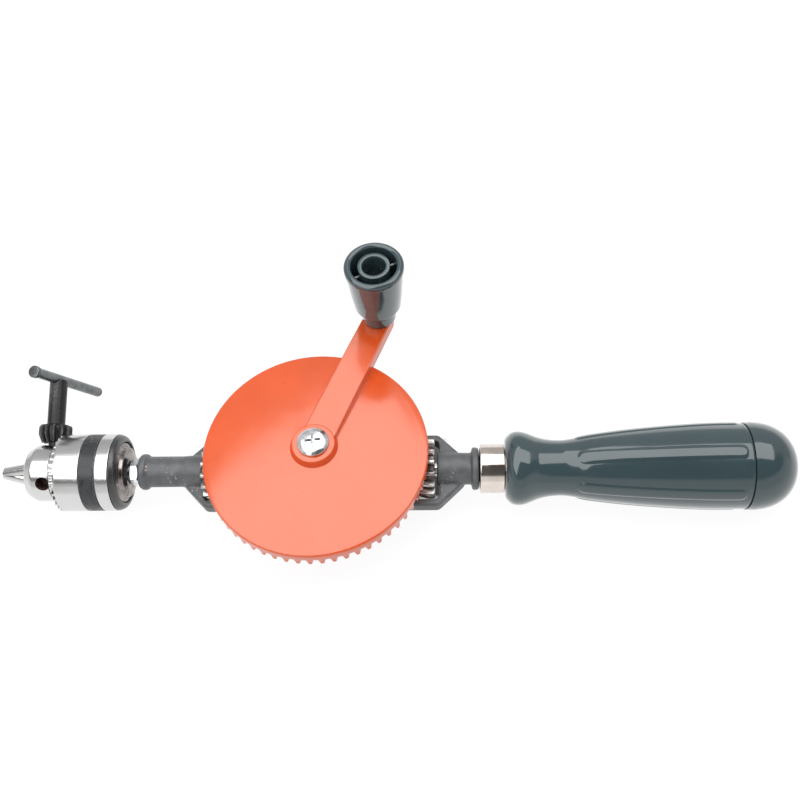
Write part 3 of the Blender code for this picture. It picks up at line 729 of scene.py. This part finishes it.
def make_casting():
    """The frame, with the soft edges and fillets of a casting."""
    corner, wing = 3.0, 4.0
    outline = rounded(
        [
            (-57.3, -5.4, 1),
            (-46.7, -16.35, corner),
            (49.3, -16.35, corner),
            (60.2, -5.4, wing),
            (60.2, 5.4, wing),
            (49.3, 16.35, corner),
            (-46.7, 16.35, corner),
            (-57.3, 5.4, 1),
        ],
        closed=True,
    )
    casting = mesh_object("cast_frame", prism(outline, -5.95, 0.1, 0.7), CASTING)
    windows = []
    for low, high in ((-47.9, -9.5), (9.5, 49.6)):
        corners = [(low, -13.45, 2.6), (high, -13.45, 2.6), (high, 13.45, 2.6), (low, 13.45, 2.6)]
        windows.append(prism(rounded(corners, closed=True), -9, 9))
    combine(casting, "DIFFERENCE", *windows)
    barrel = [
        (-75.4, 0),
        (-75.4, 6.9, 0.9),
        (-74.2, 7.6, 1.0),
        (-72.5, 7.5, 1.0),
        (-71.7, 6.45, 0.6),
        (-57.5, 6.4, 3),
        (-48.4, 7.0),
        (-48.4, 0),
    ]
    neck = [
        (48.6, 0),
        (48.6, 6.6),
        (50.4, 6.9, 2),
        (62.7, 6.5, 0.5),
        (63.0, 8.8, 0.9),
        (65.8, 8.8, 1.3),
        (65.8, 5.0),
        (103.6, 5.0),
        (103.6, 0),
    ]
    boss = [(8, 0), (8, 9.45, 0.8), (-8, 9.45, 0.8), (-8, 0)]
    bearing = [(-9.6, 0), (-9.6, 7.0, 0.6), (9.6, 7.0, 0.6), (9.6, 0)]
    for profile in (barrel, neck, bearing):
        combine(casting, "UNION", moved(lathe(profile, 96), ALONG_X))
    combine(casting, "UNION", lathe(boss, 96))
    bores = [
        rod((-80, 0, 0), (-4.5, 0, 0), 4.3),
        rod((4.5, 0, 0), (58.4, 0, 0), 3.3),
        rod((0, 0, -10), (0, 0, 10), 3.3),
    ]
    combine(casting, "DIFFERENCE", *bores)
    remesh = casting.modifiers.new("cast", "REMESH")
    remesh.mode = "VOXEL"
    remesh.voxel_size = 0.4
    smooth = casting.modifiers.new("soften", "SMOOTH")
    smooth.factor = 0.5
    smooth.iterations = 5
    apply_modifiers(casting)
    casting.data.materials.clear()
    casting.data.materials.append(CASTING)
    piece(casting, "frame", "grey_frame_paint", "frame", sharp=60)


def hexagon(across_flats, low, high):
    radius = across_flats / math.sqrt(3)
    angles = [math.pi * i / 3 for i in range(6)]
    return prism([Vector((radius * math.cos(a), radius * math.sin(a))) for a in angles], low, high)


def chamfered_hexagon(across_flats, low, high, top_round=0.6):
    """A hexagon whose corners are turned off at both ends."""
    radius = across_flats / math.sqrt(3)
    outline = [(low, 0), (low, across_flats / 2 - 0.1), (low + top_round, radius + 0.1)]
    outline += [(high - top_round, radius + 0.1), (high, across_flats / 2 - 0.1), (high, 0)]
    shape = mesh_object("hexagon_blank", hexagon(across_flats, low, high))
    combine(shape, "INTERSECT", lathe(outline, 64))
    bm = bmesh.new()
    bm.from_mesh(shape.data)
    bpy.data.objects.remove(shape, do_unlink=True)
    return bm


def make_spindle():
    shaft = lathe([(-104, 0), (-104, 4, 0.4), (-4.9, 4, 0.4), (-4.9, 0)], 96)
    spindle = mesh_object("turned_spindle", moved(shaft, ALONG_X), ZINC)
    combine(spindle, "UNION", moved(chamfered_hexagon(9.7, -79.2, -75.8), ALONG_X))
    combine(spindle, "DIFFERENCE", rod((-20, -10, 0), (-20, 10, 0), 1.5))
    piece(spindle, "spindle", "bright_zinc", "spindle")
    nut = mesh_object("hexagon_nut", chamfered_hexagon(10.0, -12.3, -9.6), ZINC)
    combine(nut, "DIFFERENCE", rod((0, 0, -20), (0, 0, 0), 3.3))
    piece(nut, "frame", "bright_zinc", "axle_nut")


def make_pinions():
    for name, body, phase, bore, turn in (
        ("drive_pinion", "spindle", math.pi / PINION_TEETH, 4.3, ALONG_MINUS_X),
        ("idler_pinion", "idler", 0, 3.3, ALONG_X),
    ):
        gear = BevelGear(PINION_TEETH, WHEEL_TEETH, WHEEL_MODULE, WHEEL_BACKLASH, phase, tip_round=0.4)
        outer, face = gear.section(1), 47.7
        rings = gear.turned([(11.2, bore), (face, bore, 0.3), (face, 8.4)])
        for drop, spread in ((0, 0.96), (0.25, 0.99), (0.7, 1.0)):
            rings.append(at_height(outer, face - drop, spread))
        rings += [outer, gear.section(INNER_SHARE)]
        rings += gear.turned([(36.4, 6.9), (36.0, 6.5, 0.4), (11.2, 6.5, 0.5), (11.2, bore)])[:-1]
        pinion = mesh_object(f"cut_{name}", moved(skin(bmesh.new(), rings, closed=True), turn), GEAR_STEEL)
        piece(pinion, body, "greased_gear_steel", name)


def outward(angle):
    """The direction away from the drill's axis, at this angle from +Y to +Z."""
    return Vector((0, math.cos(angle), math.sin(angle)))


def jaw_angles():
    return [KEY_ELEVATION + math.pi / 3 + 2 * math.pi * i / JAW_COUNT for i in range(JAW_COUNT)]


def key_hole_angles():
    return [KEY_ELEVATION + 2 * math.pi * i / JAW_COUNT for i in range(JAW_COUNT)]


def jaw_frame(angle):
    """A frame on the drill's axis, with Z along the jaw's bore and X outwards."""
    out = outward(angle)
    z_axis = (Vector((1, 0, 0)) + out * JAW_SLOPE).normalized()
    x_axis = (out - z_axis * out.dot(z_axis)).normalized()
    turn = Matrix((x_axis, z_axis.cross(x_axis), z_axis)).transposed()
    return Matrix.Translation((JAW_APEX_X, 0, 0)) @ turn.to_4x4()


def make_jaws():
    """Rods cut to wedges that meet on the drill's axis, with their tips sloped off."""
    forward = Vector((-1, 0, 0))
    for i, angle in enumerate(jaw_angles(), 1):
        bm = moved(rod((0, 0, -50), (0, 0, 50), JAW_ROD_R, 64), jaw_frame(angle))
        planes = [(Vector((JAW_TIP_X, 0, 0)), forward), (Vector((JAW_REAR_X, 0, 0)), -forward)]
        for side in (-1, 1):
            normal = outward(angle + side * math.radians(150))
            planes.append((normal * -JAW_HALF_GAP, normal))
        tip_edge = Vector((JAW_APEX_X, 0, 0)) + outward(angle) * 2.55
        planes.append((tip_edge, (outward(angle) + forward).normalized()))
        for point, normal in planes:
            geometry = list(bm.verts) + list(bm.edges) + list(bm.faces)
            cut = bmesh.ops.bisect_plane(bm, geom=geometry, plane_co=point, plane_no=normal, clear_outer=True)
            rim = [item for item in cut["geom_cut"] if isinstance(item, bmesh.types.BMEdge)]
            bmesh.ops.holes_fill(bm, edges=rim, sides=0)
        jaw = mesh_object(f"ground_jaw_{i}", bm, STEEL)
        add_bevel(jaw, 0.12, 2, 35)
        apply_modifiers(jaw)
        piece(jaw, f"jaw_{i}", "ground_steel", f"jaw_{i}")


def make_chuck():
    profile = [
        (-122.8, 4.3, 0.3),
        (-122.8, 7.8, 0.8),
        (-121.6, 10.1, 1.7),
        (-118.5, 11.75, 2.8),
        (-111.1, 11.75, 0.2),
        (-111.0, 11.3),
        (-105.3, 11.3),
        (-105.3, 9.8),
        (-100.4, 9.8),
        (-100.4, 14.5),
        (-89.9, 14.5),
        (-89.9, 16.1, 0.3),
        (-84.7, 16.1, 0.25),
        (-84.7, 12.5),
        (-82.3, 12.5, 0.5),
        (-81.7, 10.9, 0.4),
        (-80.3, 10.2, 0.6),
        (-79.6, 7.2, 0.4),
        (-79.6, 4.3),
    ]
    body = mesh_object("turned_chuck_body", moved(lathe(profile), ALONG_X), CHUCK_STEEL)
    centre = Vector((KEY_X, 0, 0))
    cuts = []
    for jaw_angle, hole_angle in zip(jaw_angles(), key_hole_angles()):
        matrix = jaw_frame(jaw_angle)
        cuts.append(rod(matrix @ Vector((0, 0, 5)), matrix @ Vector((0, 0, 49.3)), JAW_BORE_R))
        out = outward(hole_angle)
        cuts.append(rod(centre + out * 6.6, centre + out * 13, KEY_HOLE_R))
    combine(body, "DIFFERENCE", *cuts)
    piece(body, "spindle", "ground_steel", "chuck_body")
    # Dark cups set in the key holes: painted shade in the holes.
    shade_cup_outline = [(6.7, 0), (6.7, 2.9), (10.9, 2.9, 0.05), (10.9, 2.8), (6.8, 2.8), (6.8, 0)]
    for i, angle in enumerate(key_hole_angles(), 1):
        turn = Matrix.Translation(centre) @ outward(angle).to_track_quat("Z", "Y").to_matrix().to_4x4()
        cup = mesh_object(f"key_hole_lining_{i}", moved(lathe(shade_cup_outline, 48), turn), HOLE_SHADE)
        piece(cup, "spindle", "blackened_steel")
    ring = [(-84.5, 12.8), (-84.5, 16.0, 0.3), (-82.4, 15.2, 2.2), (-81.8, 13.4, 0.5), (-82.1, 12.8, 0.2)]
    rear = mesh_object("chuck_rear_ring", moved(lathe(ring), ALONG_X), OXIDE)
    piece(rear, "spindle", "blackened_steel")


def make_sleeve():
    phase = math.pi / 2 + KEY_ELEVATION
    gear = BevelGear(
        SLEEVE_TEETH, KEY_TEETH, KEY_MODULE, KEY_BACKLASH, phase, tip_round=0.2, root_round=0.2
    )
    at = Matrix.Translation((KEY_X, 0, 0)) @ ALONG_X
    rings = [gear.ring(-110.5 - KEY_X, radius) for radius in (11.7, 12.2)]
    rings += [gear.section(0.8), gear.section(1)]
    back = [
        (-107.2, 16.0),
        (-106.6, 16.1, 0.3),
        (-96.8, 16.1, 0.25),
        (-96.8, 15.5),
        (-90.3, 15.5),
        (-90.3, 14.9),
        (-105.4, 14.9),
        (-105.4, 11.7),
    ]
    rings += [gear.ring(h - KEY_X, r) for h, r in rounded(back)]
    sleeve = mesh_object("ground_chuck_sleeve", moved(skin(bmesh.new(), rings, closed=True), at), STEEL)
    piece(sleeve, "sleeve", "ground_steel", "chuck_sleeve")


def make_band():
    """The chuck's black band, with a low diamond knurl that fades out at its two edges."""
    steps, rows, margin = 480, 26, 0.15
    rings = [circle(BAND_LOW, 15.6, steps), circle(BAND_LOW, 15.9, steps)]
    for row in range(rows + 1):
        x = BAND_LOW + margin + (BAND_HIGH - BAND_LOW - 2 * margin) * row / rows
        depth = KNURL_DEPTH * min(1.0, 4 * min(row, rows - row) / rows)
        points = []
        for i in range(steps):
            angle = 2 * math.pi * i / steps
            around = angle * 16.0
            first = math.sin((around + x) * 2 * math.pi / KNURL_PITCH)
            second = math.sin((around - x) * 2 * math.pi / KNURL_PITCH)
            radius = BAND_R - depth * (2 - abs(first) - abs(second))
            points.append(Vector((radius * math.cos(angle), radius * math.sin(angle), x)))
        rings.append(points)
    rings += [circle(BAND_HIGH, 15.9, steps), circle(BAND_HIGH, 15.6, steps)]
    band = mesh_object("chuck_grip_band", moved(skin(bmesh.new(), rings, closed=True), ALONG_X), BAND)
    piece(band, "sleeve", "blackened_steel", sharp=60)


def make_key():
    phase = math.pi / KEY_TEETH
    gear = BevelGear(
        KEY_TEETH, SLEEVE_TEETH, KEY_MODULE, KEY_BACKLASH, phase, tip_round=0.3, root_round=0.3
    )
    outer = gear.section(1.05)
    rings = [[Vector((0, 0, 7.6))]]
    rings += gear.turned([(7.6, 0), (7.6, 2.6, 0.5), (12.8, 2.6)])[1:]
    rings += [gear.section(INNER_SHARE), outer]
    for height, spread in ((18.9, 1.0), (19.5, 0.985), (20.0, 0.93), (20.3, 0.82)):
        rings.append(at_height(outer, height, spread))
    shank = [(20.4, 4.4), (20.6, KEY_SHAFT_R, 0.5), (40.0, KEY_SHAFT_R, 0.7), (40.0, 0)]
    rings += gear.turned(shank)[:-1]
    rings.append([Vector((0, 0, 40.0))])
    turn = Matrix.Translation((KEY_X, 0, 0)) @ Matrix.Rotation(KEY_ELEVATION - math.pi / 2, 4, "X")
    along = Vector((math.cos(KEY_BAR_ANGLE), math.sin(KEY_BAR_ANGLE), 0))
    centre = Vector((0, 0, KEY_BAR_HEIGHT))
    shaft = mesh_object("toothed_key_shaft", skin(bmesh.new(), rings), KEY_OXIDE)
    combine(shaft, "DIFFERENCE", rod(centre - along * 10, centre + along * 10, 2.45))
    shaft.data.transform(turn)
    piece(shaft, "key", "blackened_steel", "key_shaft")
    profile = [(-17, 0), (-17, 2.6, 0.6), (-15.2, 2.6, 0.7), (-13.6, 2.15, 1.5), (29, 2.15, 1.0), (29, 0)]
    bar_turn = Matrix.Translation(centre) @ along.to_track_quat("Z", "Y").to_matrix().to_4x4()
    bar = mesh_object("key_cross_bar", moved(lathe(profile, 64), turn @ bar_turn), BAR_STEEL)
    piece(bar, "key", "blackened_steel", "key_bar")


def make_ferrule():
    profile = [(66.2, 8.7), (66.2, 10.1, 0.45), (76.0, 10.1, 0.25), (76.0, 8.7)]
    ferrule = mesh_object("plated_ferrule", moved(lathe(profile), ALONG_X), NICKEL)
    piece(ferrule, "frame", "polished_nickel", "ferrule")


def plain_grip_ring(x, radius):
    angles = [2 * math.pi * i / GRIP_STEPS for i in range(GRIP_STEPS)]
    return [Vector((x, radius * math.cos(a), radius * math.sin(a))) for a in angles]


def ribbed_grip_ring(x, base):
    """A ring of the handle with its ribs, which have rounded sides and ends."""
    points = []
    for i in range(GRIP_STEPS):
        angle = 2 * math.pi * i / GRIP_STEPS
        turn = (angle - RIB_ANGLE + RIB_PITCH / 2) % RIB_PITCH - RIB_PITCH / 2
        past_end = max(RIB_LOW - x, x - RIB_HIGH, 0)
        share = math.hypot(turn * base, past_end) / RIB_HALF
        radius = base + RIB_HEIGHT * max(0, 1 - share**5)
        points.append(Vector((x, radius * math.cos(angle), radius * math.sin(angle))))
    return points


def make_grip():
    outer = [
        (76.3, 11.0),
        (76.6, 12.0),
        (77.3, 13.0),
        (78.6, 14.25),
        (80.2, 15.0),
        (82.4, 15.2),
        (84.6, 14.8),
        (87.1, 13.9),
        (90.0, 12.75),
        (94.0, 11.8),
        (99.5, 11.45),
        (105.0, 12.1),
        (110.0, 13.1),
        (123.0, 14.8),
        (138.0, 16.2),
        (153.0, 17.2),
        (162.0, 17.5),
        (173.0, 17.5),
    ]
    tang_hole = [(104.2, 5.4), (67.8, 5.4), (67.8, 8.4), (76.3, 8.4), (76.3, 10.6)]
    bit_store = [(173.15, 17.2), (173.15, 11.2), (172.7, 11.0), (112.0, 11.0)]
    # The rings lie close together round the front shoulder.
    places = [76.3 + 0.25 * i for i in range(28)] + [83.3 + 0.55 * i for i in range(163)]
    rings = [[Vector((104.2, 0, 0))]]
    rings += [plain_grip_ring(x, r) for x, r in tang_hole]
    rings += [ribbed_grip_ring(x, smooth_curve(outer, x)) for x in places if x < 172.7]
    rings += [plain_grip_ring(x, r) for x, r in bit_store]
    rings.append([Vector((112.0, 0, 0))])
    grip = mesh_object("moulded_handle_grip", skin(bmesh.new(), rings), PLASTIC)
    piece(grip, "frame", "dark_plastic", "handle_grip", sharp=50)


def make_cap():
    inside = [(186.0, 0), (186.0, 8.4), (163.0, 8.4), (163.0, 10.6, 0.4), (173.4, 10.6), (173.4, 17.75, 0.3)]
    rings = [circle(h, r, CAP_STEPS) for h, r in rounded(inside)]
    for i in range(1, CAP_RINGS):
        angle = math.pi / 2 * i / CAP_RINGS
        along = CAP_FROM + CAP_LENGTH * math.sin(angle) ** (2 / CAP_ALONG_POWER)
        radius = CAP_R * math.cos(angle) ** (2 / CAP_ACROSS_POWER)
        rings.append(circle(along, radius, CAP_STEPS))
    rings.append([Vector((0, 0, CAP_FROM + CAP_LENGTH))])
    cap = mesh_object("moulded_handle_cap", moved(skin(bmesh.new(), rings), ALONG_X), PLASTIC)
    piece(cap, "cap", "dark_plastic", "handle_cap")


def finish_cad_nodes():
    """CAD parts whose shape is right already get their materials."""
    for name, material in (
        ("thrust_washer", STEEL),
        ("idler_washer", STEEL),
        ("idler_axle", STEEL),
        ("axle_washer", STEEL),
        ("knob_washer", STEEL),
        ("drive_pinion_pin", STEEL),
        ("chuck_nut_upper", OXIDE),
        ("chuck_nut_lower", OXIDE),
    ):
        node = frame["nodes"][name]
        node.data.materials.clear()
        node.data.materials.append(material)


# Studio -------------------------------------------------------------------------------------------


def make_camera():
    sa, ca = math.sin(CAMERA_AZIMUTH), math.cos(CAMERA_AZIMUTH)
    se, ce = math.sin(CAMERA_ELEVATION), math.cos(CAMERA_ELEVATION)
    back = Vector((sa * ce, -ca * ce, se))
    right = Vector((ca, sa, 0))
    up = back.cross(right)
    c, s = math.cos(CAMERA_ROLL), math.sin(CAMERA_ROLL)
    turn = Matrix((right * c + up * s, up * c - right * s, back)).transposed()
    data = bpy.data.cameras.new("camera")
    data.sensor_width = CAMERA_SENSOR
    data.lens = CAMERA_LENS
    data.clip_start = 0.01
    camera = bpy.data.objects.new("camera", data)
    camera.matrix_world = Matrix.Translation(CROSSING + CAMERA_AT / 1000) @ turn.to_4x4()
    bpy.context.scene.collection.objects.link(camera)
    bpy.context.scene.camera = camera


def make_floor():
    """A pale light table, with dark patches in place of the drill's shadow."""
    bm = bmesh.new()
    bmesh.ops.create_grid(bm, x_segments=1, y_segments=1, size=FLOOR_HALF)
    white = Surface("pale_floor", Emission_Color=(1, 1, 1), Roughness=0.9, Specular_IOR_Level=0.0)
    white.colour((0.1, 0.1, 0.1))
    parts = white.add("ShaderNodeSeparateXYZ", {0: white.coordinates})
    x, y = (white.math("SUBTRACT", parts.outputs[i], CROSSING[i]) for i in (0, 1))
    shade = 0.0
    for low_x, high_x, low_y, high_y, soft in FLOOR_SHADE:
        edges = [white.math("SUBTRACT", x, low_x / 1000), white.math("SUBTRACT", high_x / 1000, x)]
        edges += [white.math("SUBTRACT", y, low_y / 1000), white.math("SUBTRACT", high_y / 1000, y)]
        inside = edges[0]
        for edge in edges[1:]:
            inside = white.math("MINIMUM", inside, edge)
        patch = white.ramp(white.math("DIVIDE", inside, soft / 1000), (0.0, 0.0), (1.0, 1.0))
        shade = white.math("MAXIMUM", shade, patch)
    lit = white.math("SUBTRACT", 1.0, white.math("MULTIPLY", shade, FLOOR_SHADE_DEPTH))
    white.put(white.shader.inputs["Emission Strength"], white.math("MULTIPLY", lit, FLOOR_GLOW))
    floor = mesh_object("floor", bm, white.material)
    floor.location.z = -FLOOR_DROP


def make_softbox():
    """A flat glowing panel overhead."""
    glow = Surface("softbox_glow", Emission_Color=(1, 1, 1), Emission_Strength=SOFTBOX_RADIANCE)
    glow.colour((0, 0, 0))
    bm = bmesh.new()
    bm.faces.new([bm.verts.new((x, y, 0)) for x, y in reversed(SOFTBOX_CORNERS)])
    softbox = mesh_object("softbox", bm, glow.material)
    softbox.location = CROSSING + Vector((0, 0, SOFTBOX_HEIGHT))


def make_world():
    """Pale walls all round, greyer behind the drill, and a dark ceiling."""
    world = bpy.data.worlds.new("studio")
    world.use_nodes = True
    tree = world.node_tree
    coordinates = tree.nodes.new("ShaderNodeTexCoord")
    parts = tree.nodes.new("ShaderNodeSeparateXYZ")
    tree.links.new(coordinates.outputs["Generated"], parts.inputs[0])
    colours = []
    for axis, stops in (("Z", FRONT_WALL), ("Z", BACK_WALL), ("Y", TOWARDS_BACK)):
        ramp = tree.nodes.new("ShaderNodeValToRGB")
        elements = ramp.color_ramp.elements
        while len(elements) < len(stops):
            elements.new(0.5)
        for element, (position, value) in zip(elements, stops):
            element.position = position
            element.color = (value, value, value, 1)
        tree.links.new(parts.outputs[axis], ramp.inputs["Fac"])
        colours.append(ramp.outputs["Color"])
    mix = tree.nodes.new("ShaderNodeMix")
    mix.data_type = "RGBA"
    for socket, colour in zip((mix.inputs[6], mix.inputs[7], mix.inputs[0]), colours):
        tree.links.new(colour, socket)
    tree.links.new(mix.outputs[2], tree.nodes["Background"].inputs["Color"])
    bpy.context.scene.world = world


make_camera()
make_floor()
make_softbox()
make_world()
make_wheel()
make_axle_screw()
make_knob()
make_casting()
make_spindle()
make_pinions()
make_jaws()
make_chuck()
make_sleeve()
make_band()
make_key()
make_ferrule()
make_grip()
make_cap()
finish_cad_nodes()
bpy.context.scene.view_settings.view_transform = "Standard"

bpy.context.view_layer.update()
